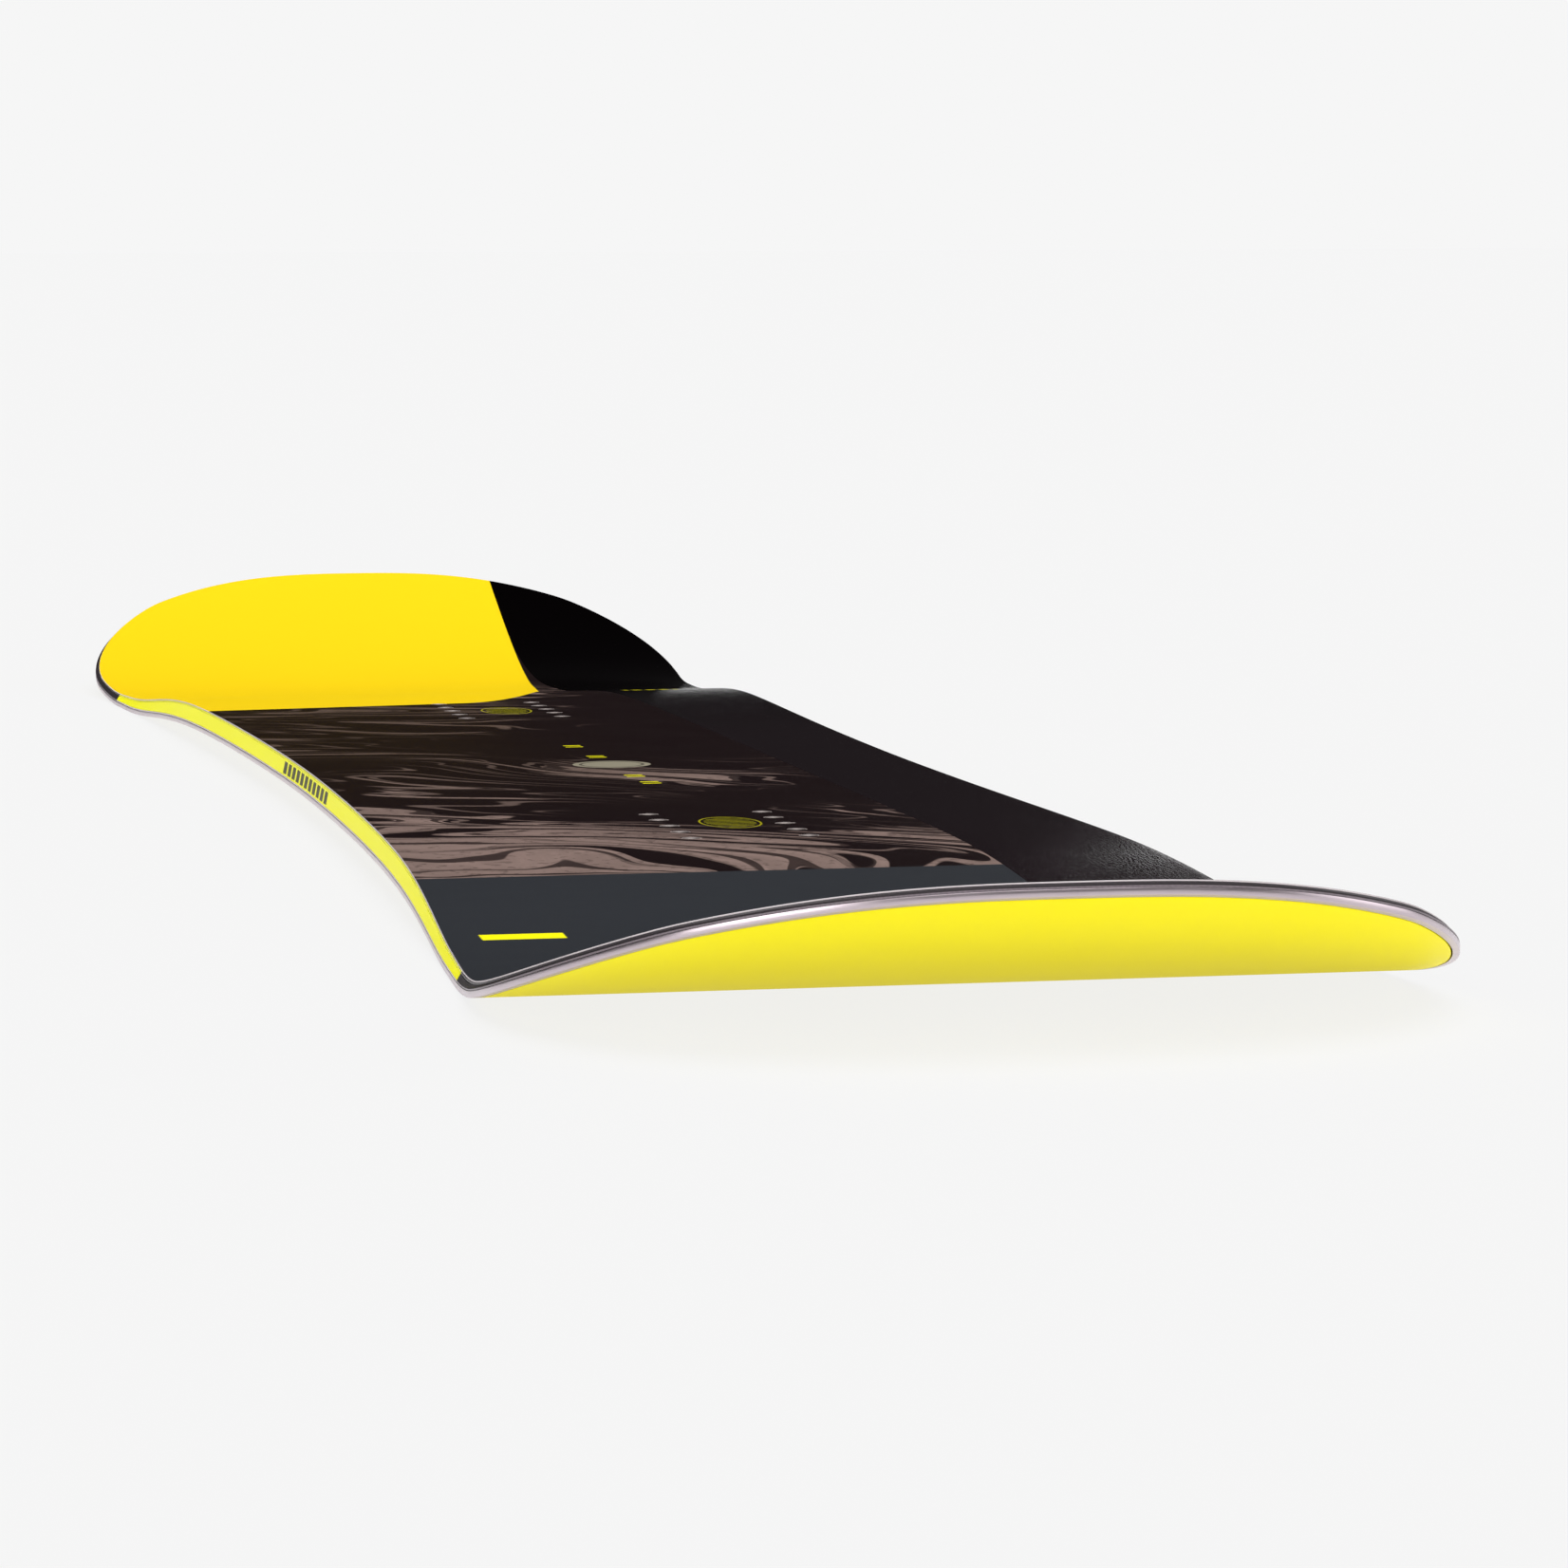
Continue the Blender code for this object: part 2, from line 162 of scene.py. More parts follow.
def number(name, about, default, **more):
    """A setting without a length."""
    return bpy.props.FloatProperty(name=name, description=about, default=default, **more)


def paint(name, about, default):
    """A setting that holds a colour."""
    return bpy.props.FloatVectorProperty(name=name, description=about, default=default, size=3,
                                         min=0.0, max=1.0, subtype="COLOR")


class BoardShape(bpy.types.PropertyGroup):
    """Plan view, side view and insert pattern of the board."""

    length: size("Length", "Length of the deck from tip to tip", 1.460)
    waist: size("Waist width", "Width of the deck at its middle", 0.2285)
    hull: size("Hull width", "Width where sidecut and tip curve would meet in a corner", 0.284)
    tip_depth: size("Tip depth", "From that corner to the tip, along the board", 0.0785)
    tip_power: number("Tip bluntness", "Power of the tip curve; higher is blunter", 2.75)
    sidecut_power: number("Sidecut power", "2 is a plain parabola", 1.8)
    reach_side: size("Corner reach, side", "How far the rounded corner reaches along the sidecut", 0.075)
    reach_tip: size("Corner reach, tip", "How far the rounded corner reaches across the tip", 0.040)
    contact: size("Contact point", "From the middle of the board to each contact face", 0.520)
    contact_face: size("Contact face", "Length of each contact face", 0.020)
    camber: size("Camber", "Rise of the running face at the middle of the board", 0.0078)
    camber_power: number("Camber power", "How suddenly the camber ends", 7.3)
    camber_ease: number("Camber ease", "How softly the camber meets the contact face", 3.0)
    tip_rise: size("Tip rise", "Rise of the running face at the tips", 0.0442)
    rise_power: number("Rise power", "How suddenly the tips turn up", 1.9)
    thickness: size("Thickness", "Thickness under the bindings", 0.0098)
    tip_thickness: size("Tip thickness", "Thickness of the tips", 0.0047)
    taper_start: size("Taper start", "Where the board starts to get thinner", 0.310)
    taper_end: size("Taper end", "Where it is at its thinnest", 0.625)
    stance: size("Stance", "Between the middles of the two insert groups",
                 2 * frame["record"]["mounts"][0]["pos_m"][0])
    row_spacing: size("Row spacing", "Between the two rows of a group, across the board", 0.040)
    insert_pitch: size("Insert pitch", "Between inserts of a row", 0.020)
    insert_radius: size("Insert radius", "Radius of the insert where it shows in the deck", 0.0036)
    bore_radius: size("Bore radius", "Radius inside the thread", 0.0025)


class BoardColours(bpy.types.PropertyGroup):
    """Colours of the board's materials."""

    base: paint("Base", "Sintered base sheet", colour(245, 233, 4))
    tail: paint("Tail panel", "Printed panel over the tail", colour(233, 198, 22))
    sidewall: paint("Sidewall", "Plastic sidewall", colour(250, 248, 16))
    slate: paint("Nose panel", "Printed panel over the nose", colour(46, 48, 52))
    band: paint("Side band", "Woven band along one side", colour(22, 15, 18))
    marble_dark: paint("Marbling ground", "Ground colour of the marbled panel", colour(25, 17, 18))
    marble_light: paint("Marbling vein", "Vein colour of the marbled panel", colour(135, 115, 108))
    marble_olive: paint("Marbling tint", "Tint of the marbling towards the tail", colour(56, 43, 28))
    mark: paint("Printed marks", "Ticks and bars printed on the deck", colour(240, 232, 20))
    disc: paint("Centre disc", "Plain disc at the middle of the deck", colour(140, 134, 116))
    steel: paint("Steel", "Edges", colour(190, 177, 184))
    insert: paint("Insert steel", "Threaded inserts", colour(198, 186, 182))
    spacer: paint("Spacer", "Black tip filler", colour(42, 36, 39))


class StudioSettings(bpy.types.PropertyGroup):
    """Backdrop and lights."""

    backdrop: paint("Backdrop", "Pale floor and background", colour(246, 246, 246))
    floor_radius: size("Floor radius", "Radius of the round floor", 60.0)
    key: number("Key light", "Strength of the soft overhead light", 3.0, unit="POWER")
    front: number("Front light", "Strength of the soft front light", 0.5, unit="POWER")
    left: number("Left light", "Strength of the soft light on the sidewall's side", 1.9, unit="POWER")
    right: number("Right light", "Strength of the soft light on the band's side", 1.0, unit="POWER")
    rim: number("Rim light", "Strength of the low light behind the tail", 0.010, unit="POWER")


# ---------------- form of the board

class BoardForm:
    """The board's outline and side view, as smooth curves."""

    def __init__(self, shape):
        self.shape = shape
        self.half = shape.length / 2
        self.fine = self.quarter()
        run = np.gradient(self.fine, axis=0)
        normals = np.stack([-run[:, 1], run[:, 0]], 1)
        self.fine_normals = normals / np.linalg.norm(normals, axis=1)[:, None]
        self.fine_normals[-1] = (1.0, 0.0)
        self.rows, self.normals = self.sampled()

    def quarter(self):
        """Deck outline from the waist to the tip: sidecut, rounded corner, tip curve."""
        s = self.shape
        corner = np.array([self.half - s.tip_depth, s.hull / 2])
        waist = s.waist / 2
        xs = np.linspace(0, corner[0] - s.reach_side, OUTLINE_SAMPLES)
        side = np.stack([xs, waist + (corner[1] - waist) * (xs / corner[0]) ** s.sidecut_power], 1)
        ys = np.linspace(corner[1] - s.reach_tip, 0, OUTLINE_SAMPLES)
        tip = np.stack([self.half - s.tip_depth * (ys / corner[1]) ** s.tip_power, ys], 1)
        t = np.linspace(0, 1, OUTLINE_SAMPLES)[1:-1, None]
        rounded = (1 - t) ** 2 * side[-1] + 2 * t * (1 - t) * corner + t ** 2 * tip[0]
        return self.eased(np.concatenate([side, rounded, tip]), len(side) + len(rounded))

    def eased(self, points, joint):
        """The outline, with the joint between two of its curves rounded over a short reach."""
        run = np.concatenate([[0], np.cumsum(np.linalg.norm(np.diff(points, axis=0), axis=1))])
        moves = np.linspace(-JOINT_REACH, JOINT_REACH, JOINT_SAMPLES)
        mean = np.stack([np.mean([np.interp(run + move, run, column) for move in moves], axis=0)
                         for column in points.T], 1)
        near = np.clip(2 - abs(run - run[joint]) / JOINT_REACH, 0, 1)
        return points + (mean - points) * near[:, None]

    def sampled(self):
        """Rows of the board: even along the sidecut and round the tip, and at the insert cells."""
        legs = np.linalg.norm(np.diff(self.fine, axis=0), axis=1)
        heading = np.unwrap(np.arctan2(self.fine_normals[:, 0], self.fine_normals[:, 1]))
        turn = np.abs(np.diff(heading))
        cost = np.concatenate([[0], np.cumsum(legs / ROW_STEP + turn / TURN_STEP)])
        places = np.linspace(0, cost[-1], int(cost[-1]) + 2)
        xs = np.interp(places, cost, self.fine[:, 0])
        ys = np.interp(places, cost, self.fine[:, 1])
        inserts = self.insert_rows()
        cells = [x + side * CELL for x in inserts for side in (-1, 1)]
        straight = self.half - self.shape.tip_depth - self.shape.reach_side
        apart = CELL * 0.4
        clear = [x for x in xs if x < straight and min(abs(x - c) for c in cells) > apart
                 and min(abs(x - i) for i in inserts) >= CELL]
        side_xs = np.array(sorted(set(clear) | set(cells) | {0.0}))
        sidecut = self.fine[:OUTLINE_SAMPLES]
        side_ys = np.interp(side_xs, sidecut[:, 0], sidecut[:, 1])
        keep = xs >= straight
        points = np.concatenate([np.stack([side_xs, side_ys], 1), np.stack([xs[keep], ys[keep]], 1)])
        near = [int(np.argmin(np.linalg.norm(self.fine - p, axis=1))) for p in points]
        normals = self.fine_normals[near]
        normals[-1] = (1.0, 0.0)
        return points, normals

    def order(self):
        """The rows from the tail's tip to the nose's, as (end, row): end is -1 for the tail's half."""
        last = len(self.rows)
        return [(-1, k) for k in range(last - 1, 0, -1)] + [(1, k) for k in range(last)]

    def insert_rows(self, end=1):
        """X of the inserts of one group, counted towards the nose."""
        s = self.shape
        middle = (INSERTS_PER_ROW - 1) / 2
        return [end * s.stance / 2 + (i - middle) * s.insert_pitch for i in range(INSERTS_PER_ROW)]

    def base(self, x):
        """Height of the running face."""
        s = self.shape
        x = abs(x)
        inner, outer = s.contact - s.contact_face / 2, s.contact + s.contact_face / 2
        if x <= inner:
            return s.camber * (1 - (x / inner) ** s.camber_power) ** s.camber_ease
        if x <= outer:
            return 0.0
        return s.tip_rise * ((x - outer) / (self.half - outer)) ** s.rise_power

    def deck(self, x):
        """Height of the deck, with the board thinner towards its tips."""
        s = self.shape
        t = min(max((abs(x) - s.taper_start) / (s.taper_end - s.taper_start), 0), 1)
        return self.base(x) + s.thickness + (s.tip_thickness - s.thickness) * t * t * (3 - 2 * t)

    def over_base(self, height):
        """The level at a height above the running face, as a function of X."""
        return lambda x: self.base(x) + height

    def under_deck(self, depth):
        """The level at a depth below the deck, as a function of X."""
        return lambda x: self.deck(x) - depth

    def half_width(self, x, distance):
        """Y of the rim that stands a distance outside the deck's outline."""
        moved = self.fine + self.fine_normals * distance
        return float(np.interp(abs(x), moved[:, 0], moved[:, 1], right=0.0))

    def slope(self, x, level):
        """Rise of a level along the board at X."""
        step = 0.001
        return (level(x + step) - level(x - step)) / (2 * step)


def add_piece(name, bm, material, solid):
    """One visible piece: it rides on the board and stands for its solid."""
    bmesh.ops.recalc_face_normals(bm, faces=bm.faces)
    mesh = bpy.data.meshes.new(name)
    bm.to_mesh(mesh)
    bm.free()
    mesh.shade_smooth()
    mesh.set_sharp_from_angle(angle=SHARP_ANGLE)
    mesh.materials.append(material)
    piece = bpy.data.objects.new(name, mesh)
    bpy.context.scene.collection.objects.link(piece)
    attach(piece, BODY)
    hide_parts(solid)
    return piece


def face(bm, corners):
    """A face through the corners, leaving out repeats where a row closes to a point."""
    kept = [v for i, v in enumerate(corners) if v is not corners[i - 1]]
    if len(kept) > 2:
        bm.faces.new(kept)


def skin(bm, rings):
    """Join closed rings of vertices, each to the next."""
    for one, two in zip(rings, rings[1:]):
        for i in range(len(one)):
            j = (i + 1) % len(one)
            face(bm, [one[i], one[j], two[j], two[i]])


def rim_point(form, row, distance, level, end, side):
    """The point a distance outside the deck's outline, at a row of one end and one side."""
    x, y = form.rows[row] + form.normals[row] * distance
    return Vector((end * x, side * y, level(x)))


def rail(form, bm, side, profile, gap=0.0, ends=None):
    """Sweep a closed profile of (distance, level) corners along one side of the board.

    It wraps round both tips and stops a gap short of the middle, or runs between the two X of ends.
    """
    sections = []
    for end, k in form.order():
        if ends and not ends[0] < end * form.rows[k][0] < ends[1]:
            continue
        sections.append([rim_point(form, k, d, level, end, side) for d, level in profile])
    if ends:
        for place, at in ((ends[0], 0), (ends[1], len(sections) + 1)):
            x = abs(place)
            sections.insert(at, [Vector((place, side * form.half_width(x, d), level(x)))
                                 for d, level in profile])
    else:
        for section in (sections[0], sections[-1]):
            for point in section:
                point.y = side * gap
    rings = [[bm.verts.new(p) for p in section] for section in sections]
    skin(bm, rings)
    bm.faces.new(rings[0])
    bm.faces.new(rings[-1])


def columns(form, width):
    """Y of a layer's lengthwise grid lines at a row of that half width: they frame the insert cells."""
    scale = min(width / FULL_WIDTH, 1.0)
    near = [(form.shape.row_spacing / 2 + d) * scale for d in (-CELL, CELL)]
    spread = [near[1] + (width - near[1]) * t for t in (0.3, 0.6, 0.85)]
    half = near + spread
    return [-y for y in reversed(half)] + half


def cross_section(form, bm, profile, end, row, x_at=None):
    """Ring of vertices round a layer, at a row or, where one is given, at an X between the rows.

    At the very tip of the board it is one column of vertices, repeated.
    """
    if x_at is None:
        right = [rim_point(form, row, d, level, end, 1) for d, level in profile]
    else:
        right = [Vector((end * x_at, form.half_width(x_at, d), level(x_at))) for d, level in profile]
    foot, head = right[0], right[-1]
    if row == len(form.rows) - 1:
        inner = len(columns(form, 0.0))
        verts = [bm.verts.new((p.x, 0.0, p.z)) for p in right]
        return verts + [verts[-1]] * inner + verts[::-1] + [verts[0]] * inner
    return ([bm.verts.new(p) for p in right]
            + [bm.verts.new((head.x, y, head.z)) for y in reversed(columns(form, head.y))]
            + [bm.verts.new((p.x, -p.y, p.z)) for p in reversed(right)]
            + [bm.verts.new((foot.x, y, foot.z)) for y in columns(form, foot.y)])


def plate(form, bm, profile):
    """A closed layer over the whole board. The profile runs from the underside's rim up to the top's."""
    skin(bm, [cross_section(form, bm, profile, end, row) for end, row in form.order()])


def tip_plate(form, bm, profile, start, end):
    """The same layer at one end of the board alone, beyond the X of start."""
    beyond = [row for row in range(len(form.rows)) if form.rows[row][0] > start]
    rings = [cross_section(form, bm, profile, end, None, start)]
    rings += [cross_section(form, bm, profile, end, row) for row in beyond]
    skin(bm, rings)
    bm.faces.new(rings[0])


# ---------------- shader maths

class Term:
    """A value inside a material, so that shader maths is written as arithmetic."""

    def __init__(self, recipe, socket):
        self.recipe = recipe
        self.socket = socket

    def math(self, operation, *others):
        values = {i: v for i, v in enumerate((self,) + others)}
        return self.recipe.node("ShaderNodeMath", {"operation": operation}, values)

    def __add__(self, other):
        return self.math("ADD", other)

    __radd__ = __add__

    def __sub__(self, other):
        return self.math("SUBTRACT", other)

    def __rsub__(self, other):
        return (self * -1) + other

    def __mul__(self, other):
        return self.math("MULTIPLY", other)

    __rmul__ = __mul__

    def __truediv__(self, other):
        return self.math("DIVIDE", other)

    def __rtruediv__(self, other):
        return self.math("POWER", -1.0) * other

    def __pow__(self, other):
        return self.math("POWER", other)

    def __abs__(self):
        return self.math("ABSOLUTE")

    def high(self, other):
        return self.math("MAXIMUM", other)

    def sine(self):
        return self.math("SINE")

    def fraction(self):
        return self.math("FRACT")

    def above(self, edge, soft):
        """0 below the edge and 1 above it, with a soft step."""
        ends = {"From Min": edge - soft, "From Max": edge + soft}
        return self.recipe.node("ShaderNodeMapRange", {"interpolation_type": "SMOOTHSTEP"},
                                {"Value": self, **ends}, "Result")

    def below(self, edge, soft):
        return 1 - self.above(edge, soft)

    def within(self, low, high, soft):
        return self.above(low, soft) * self.below(high, soft)


class Recipe:
    """The node tree of one material or of the world."""

    def __init__(self, tree):
        self.tree = tree
        self.place = None

    def node(self, kind, settings=None, sockets=None, output=0):
        """Add a node: settings first, then the values or links of its sockets."""
        made = self.tree.nodes.new(kind)
        for key, value in (settings or {}).items():
            setattr(made, key, value)
        for key, value in (sockets or {}).items():
            if isinstance(value, Term):
                self.tree.links.new(value.socket, made.inputs[key])
            else:
                made.inputs[key].default_value = value
        return None if output is None else Term(self, made.outputs[output])

    def coordinates(self):
        """Position in the board's own frame, as a vector and as x, y and z."""
        if self.place is None:
            spot = self.node("ShaderNodeTexCoord", output="Object")
            self.place = [spot] + self.split(spot)
        return self.place

    def split(self, vector):
        """X, y and z of a vector."""
        outputs = self.node("ShaderNodeSeparateXYZ", None, {0: vector}).socket.node.outputs
        return [Term(self, out) for out in outputs]

    def vector(self, x, y, z):
        return self.node("ShaderNodeCombineXYZ", None, {0: x, 1: y, 2: z})

    def shift(self, one, two, operation="ADD"):
        return self.node("ShaderNodeVectorMath", {"operation": operation}, {0: one, 1: two})

    def scaled(self, vector, factor):
        return self.node("ShaderNodeVectorMath", {"operation": "SCALE"}, {0: vector, "Scale": factor})

    def noise(self, vector, scale, detail, rough=0.5, output="Fac"):
        """Cloudy noise with so many cells to the unit of its vector."""
        return self.node("ShaderNodeTexNoise", None,
                         {"Vector": vector, "Scale": scale, "Detail": detail, "Roughness": rough}, output)

    def blend(self, factor, one, two):
        """Mix two colours: the first at 0 and the second at 1."""
        colours = {i: (c if isinstance(c, Term) else (*c, 1.0)) for i, c in ((6, one), (7, two))}
        return self.node("ShaderNodeMix", {"data_type": "RGBA"}, {0: factor, **colours}, 2)

    def bump(self, height, distance, strength):
        """Normal that follows a height field."""
        sockets = {"Height": height, "Distance": distance, "Strength": strength}
        return self.node("ShaderNodeBump", None, sockets, "Normal")


class Finish(Recipe):
    """A material made of one Principled shader."""

    def __init__(self, name, **constants):
        self.material = bpy.data.materials.new(name)
        self.material.use_nodes = True
        super().__init__(self.material.node_tree)
        self.shader = self.tree.nodes["Principled BSDF"]
        for key, value in constants.items():
            self.shader.inputs[key.replace("_", " ")].default_value = value

    def mottled(self, factor, shade, part):
        """A colour that goes towards a part of its own brightness as the factor rises."""
        return self.blend(factor, shade, dimmed(shade, part))

    def set(self, **links):
        """Feed the shader's sockets, and give back the finished material."""
        for key, value in links.items():
            socket = self.shader.inputs[key.replace("_", " ")]
            if isinstance(value, Term):
                self.tree.links.new(value.socket, socket)
            else:
                socket.default_value = (*value, 1.0)
        return self.material


# ---------------- materials

def weave(finish, pitch):
    """Plain weave: height of the yarns, 0 in the gaps and 1 on the crowns."""
    _, x, y, _ = finish.coordinates()
    turn = 2 * math.pi / pitch
    return (x * turn).sine() * (y * turn).sine() * 0.5 + 0.5


def marbling(f, colours):
    """Streaks of a long field that is folded into itself twice, over a dark ground."""
    spot, x, y, _ = f.coordinates()

    # the field
    half = (0.5, 0.5, 0.5)
    fold = f.shift(f.noise(spot, 5.0, 1.0, output="Color"), half, "SUBTRACT")
    folded = f.shift(spot, f.scaled(fold, 0.20))
    curl = f.shift(f.noise(folded, 15.0, 2.0, output="Color"), half, "SUBTRACT")
    u, v, _ = f.split(f.shift(folded, f.scaled(curl, 0.012)))
    streak = f.vector((u * 0.55 + v * 0.83) * 3.0, (v * 0.55 - u * 0.83) * 13.0, 0.0)
    field = f.noise(streak, 1.0, 2.0)
    patch = f.noise(f.shift(folded, (3.0, 1.0, 0.0)), 6.5, 1.0)

    # how much vein there is: most at the nose's end, less towards the band
    near = x.above(0.25, 0.10)
    left = y.below(-0.02, 0.09)
    tail_end = x.below(-0.14, 0.08)
    want = near * 0.68 + left * 0.20 + tail_end * 0.06 - y.above(0.03, 0.05) * 0.22 + patch * 2.6 - 1.93

    # veins, the cuts in them, thin wisps beside them and flecks all over
    streaks = ((field * 58.0).sine() * 0.5 + want).above(0.0, 0.03)
    cuts = (field * 173.0).sine().above(0.74, 0.08) * 0.85
    wisps = ((field * 101.0 + patch * 20.0).sine() + want * 0.4).above(0.74, 0.08) * 0.6
    fleck = f.noise(spot, 260.0, 3.0).above(0.60, 0.04) * 0.35
    vein = (streaks * (1 - cuts)).high(wisps) * (1 - fleck)

    # colours, which turn to olive towards the tail
    olive = x.below(0.08, 0.20) * y.below(0.01, 0.05)
    light = f.blend(olive * 0.9, colours["marble_light"], colours["marble_olive"])
    grain = f.noise(f.scaled(streak, 7.0), 1.0, 4.0, 0.7).above(0.44, 0.16)
    light = f.blend(grain * 0.5, light, dimmed(colours["marble_light"], 0.5))
    deep = dimmed(colours["marble_olive"], 0.35)
    ground = f.blend(olive * left * 0.6, colours["marble_dark"], deep)
    return f.blend(vein, ground, light)


def tail_panel(x, y):
    """Where the tail's panel is: it ends in half an oval whose axis slants across the board."""
    across = ((y - TAIL_MIDDLE) / TAIL_HALF_WIDTH).high(0.0)
    along = ((x + y * TAIL_SLANT - TAIL_EDGE) / TAIL_LENGTH + 1.0).high(0.0)
    return (along * along + across * across).below(1.0, 0.004) * x.below(-0.2, 0.01)


def printed_marks(x, y):
    """Where the yellow marks are: barred ovals between the insert rows, bars and dashes."""
    far_x = abs(x) - OVAL_X
    oval = (far_x / OVAL_LENGTH) ** 2.0 + ((y - OVAL_Y) / OVAL_WIDTH) ** 2.0
    bars = abs((far_x / OVAL_BAR_PITCH).fraction() - 0.5).below(0.08, 0.05) * oval.below(0.68, 0.03)
    marks = bars.high(oval.within(0.88, 1.0, 0.02) * 0.6) * 0.6
    long, wide = BAR_HALVES
    for at_x, at_y in BAR_PAIRS:
        for step in (-PAIR_HALF, PAIR_HALF):
            bar = abs(x - at_x - step).below(long, PRINT_EDGE) * abs(y - at_y).below(wide, 0.0003)
            marks = marks.high(bar)
    at_x, at_y = NOSE_BAR
    long, wide = NOSE_BAR_HALVES
    marks = marks.high(abs(x - at_x).below(long, 0.0004) * abs(y - at_y).below(wide, 0.0004))
    dashes = abs((y / DASH_PITCH).fraction() - 0.5).below(0.32, 0.04) * y.within(*DASH_SPAN, PRINT_EDGE)
    return marks.high(dashes * abs(x - DASH_X).below(0.007, 0.0003))


def deck_print(colours):
    """Topsheet: yellow tail, marbled middle, slate nose and a woven black band along one side."""
    f = Finish("topsheet_print", IOR=1.46, Specular_IOR_Level=0.012)
    spot, x, y, _ = f.coordinates()
    in_band = y.above(BAND_START, PRINT_EDGE)
    in_tail = tail_panel(x, y)

    # panels
    yarn = weave(f, 0.0022)
    band = f.mottled(yarn * 0.4, colours["band"], 2.0)
    # painted shade: the band is darkened almost to black towards the tail's end
    band = f.blend(x.below(-0.28, 0.2) * 0.9, band, (0.0, 0.0, 0.0))
    tint = f.noise(spot, 14.0, 3.0)
    slate = f.mottled(tint * 0.25, colours["slate"], 0.82)
    tail = f.mottled(tint * 0.12, colours["tail"], 0.9)
    shade = f.blend(x.above(NOSE_PANEL_START, 0.0003), marbling(f, colours), slate)
    shade = f.blend(in_band, shade, band)
    shade = f.blend(in_tail, shade, tail)

    # marks, and a plain disc with a ring in it
    shade = f.blend(printed_marks(x, y), shade, colours["mark"])
    radial = ((x - DISC_X) ** 2.0 + (y - DISC_Y) ** 2.0) ** 0.5
    ring = radial.within(*DISC_RING, PRINT_EDGE)
    medal = f.blend(ring * 0.6 + tint * 0.2, colours["disc"], colours["marble_dark"])
    shade = f.blend(radial.below(DISC_RADIUS, PRINT_EDGE), shade, medal)

    # the clear sheet's cut edge at the rim is painted pale: partly the colour of the unprinted sheet,
    # partly a painted highlight along the rim
    rim = f.node("ShaderNodeAttribute", {"attribute_name": "rim"}, output="Fac")
    shade = f.blend(rim * 0.85, shade, colour(206, 198, 200))

    # satin all over, with the threads of the weave standing out in the band
    grain = f.noise(spot, 900.0, 2.0)
    polish = f.noise(spot, 22.0, 3.0)
    threads = f.noise(f.vector(x * 260.0, y * 1300.0, 0.0), 1.0, 2.0)
    woven = in_band * (1 - in_tail)
    rough = 0.46 + polish * 0.10 - woven * 0.40 + woven * threads * 0.10
    height = (yarn * 0.6 + threads * 6.0) * woven + grain * 0.12
    return f.set(Base_Color=shade, Roughness=rough, Normal=f.bump(height, 0.00003, 0.4))


def base_plastic(colours):
    """Sintered base, ground with fine lengthwise structure and waxed."""
    f = Finish("base_sintered", IOR=1.5, Specular_IOR_Level=0.02)
    spot, x, y, _ = f.coordinates()
    lines = f.noise(f.vector(x * 6.0, y * 2200.0, 0.0), 1.0, 2.0)
    cross = f.noise(f.vector(x * 160.0 + y * 900.0, y * 900.0 - x * 160.0, 0.0), 1.0, 2.0)
    wax = f.noise(spot, 9.0, 4.0)
    shade = f.mottled(wax * 0.16, colours["base"], 0.86)
    relief = f.bump(lines * 0.7 + cross * 0.3, 0.00003, 0.5)
    return f.set(Base_Color=shade, Roughness=0.3 + wax * 0.14, Normal=relief)


def sidewall_plastic(colours):
    """Lemon sidewall, planed and sanded along the board, with a row of plain dark ticks on one side."""
    f = Finish("sidewall_lemon", IOR=1.5, Specular_IOR_Level=0.3)
    spot, x, y, z = f.coordinates()
    sanding = f.noise(f.vector(x * 30.0, y * 1500.0, z * 2600.0), 1.0, 3.0)
    smudge = f.noise(spot, 26.0, 3.0)
    shade = f.mottled(smudge * 0.14, colours["sidewall"], 0.85)
    tick = abs((x / TICK_PITCH).fraction() - 0.5).below(0.35, 0.03)
    row = tick * x.within(*TICK_SPAN, 0.0003) * y.below(-0.11, 0.001)
    tall = z.within(*TICK_HEIGHTS, PRINT_EDGE)
    shade = f.blend(row * tall * 0.96, shade, (0.006, 0.006, 0.0))
    relief = f.bump(sanding, 0.00004, 0.4)
    return f.set(Base_Color=shade, Roughness=0.42 + sanding * 0.12, Normal=relief)


def spacer_plastic(colours):
    """Black tip filler, sanded round the rim."""
    f = Finish("spacer_black", IOR=1.5, Specular_IOR_Level=0.5)
    _, x, y, z = f.coordinates()
    sanding = f.noise(f.vector(x * 60.0, y * 60.0, z * 3000.0), 1.0, 3.0)
    shade = f.mottled(sanding * 0.5, colours["spacer"], 0.5)
    return f.set(Base_Color=shade, Roughness=0.40 + sanding * 0.15, Normal=f.bump(sanding, 0.00004, 0.5))


def glass_laminate(name, shade, dark, beyond):
    """Glass and resin, whose weave shows as fine ribs where it is cut.

    Past the sidewalls it takes another colour, that of the tip filler which shines through.
    """
    f = Finish(name, IOR=1.5)
    spot, x, y, _ = f.coordinates()
    ribs = ((x + y) * (2 * math.pi / 0.0016)).sine() * 0.5 + 0.5
    cloud = f.noise(spot, 60.0, 3.0)
    tone = f.blend(ribs * 0.25 + cloud * 0.2, shade, dark)
    filler = f.mottled(ribs * 0.4, beyond, 0.6)
    tone = f.blend(abs(x).above(SPACER_START, 0.0002), tone, filler)
    return f.set(Base_Color=tone, Roughness=0.36 + cloud * 0.2, Normal=f.bump(ribs, 0.00005, 0.4))


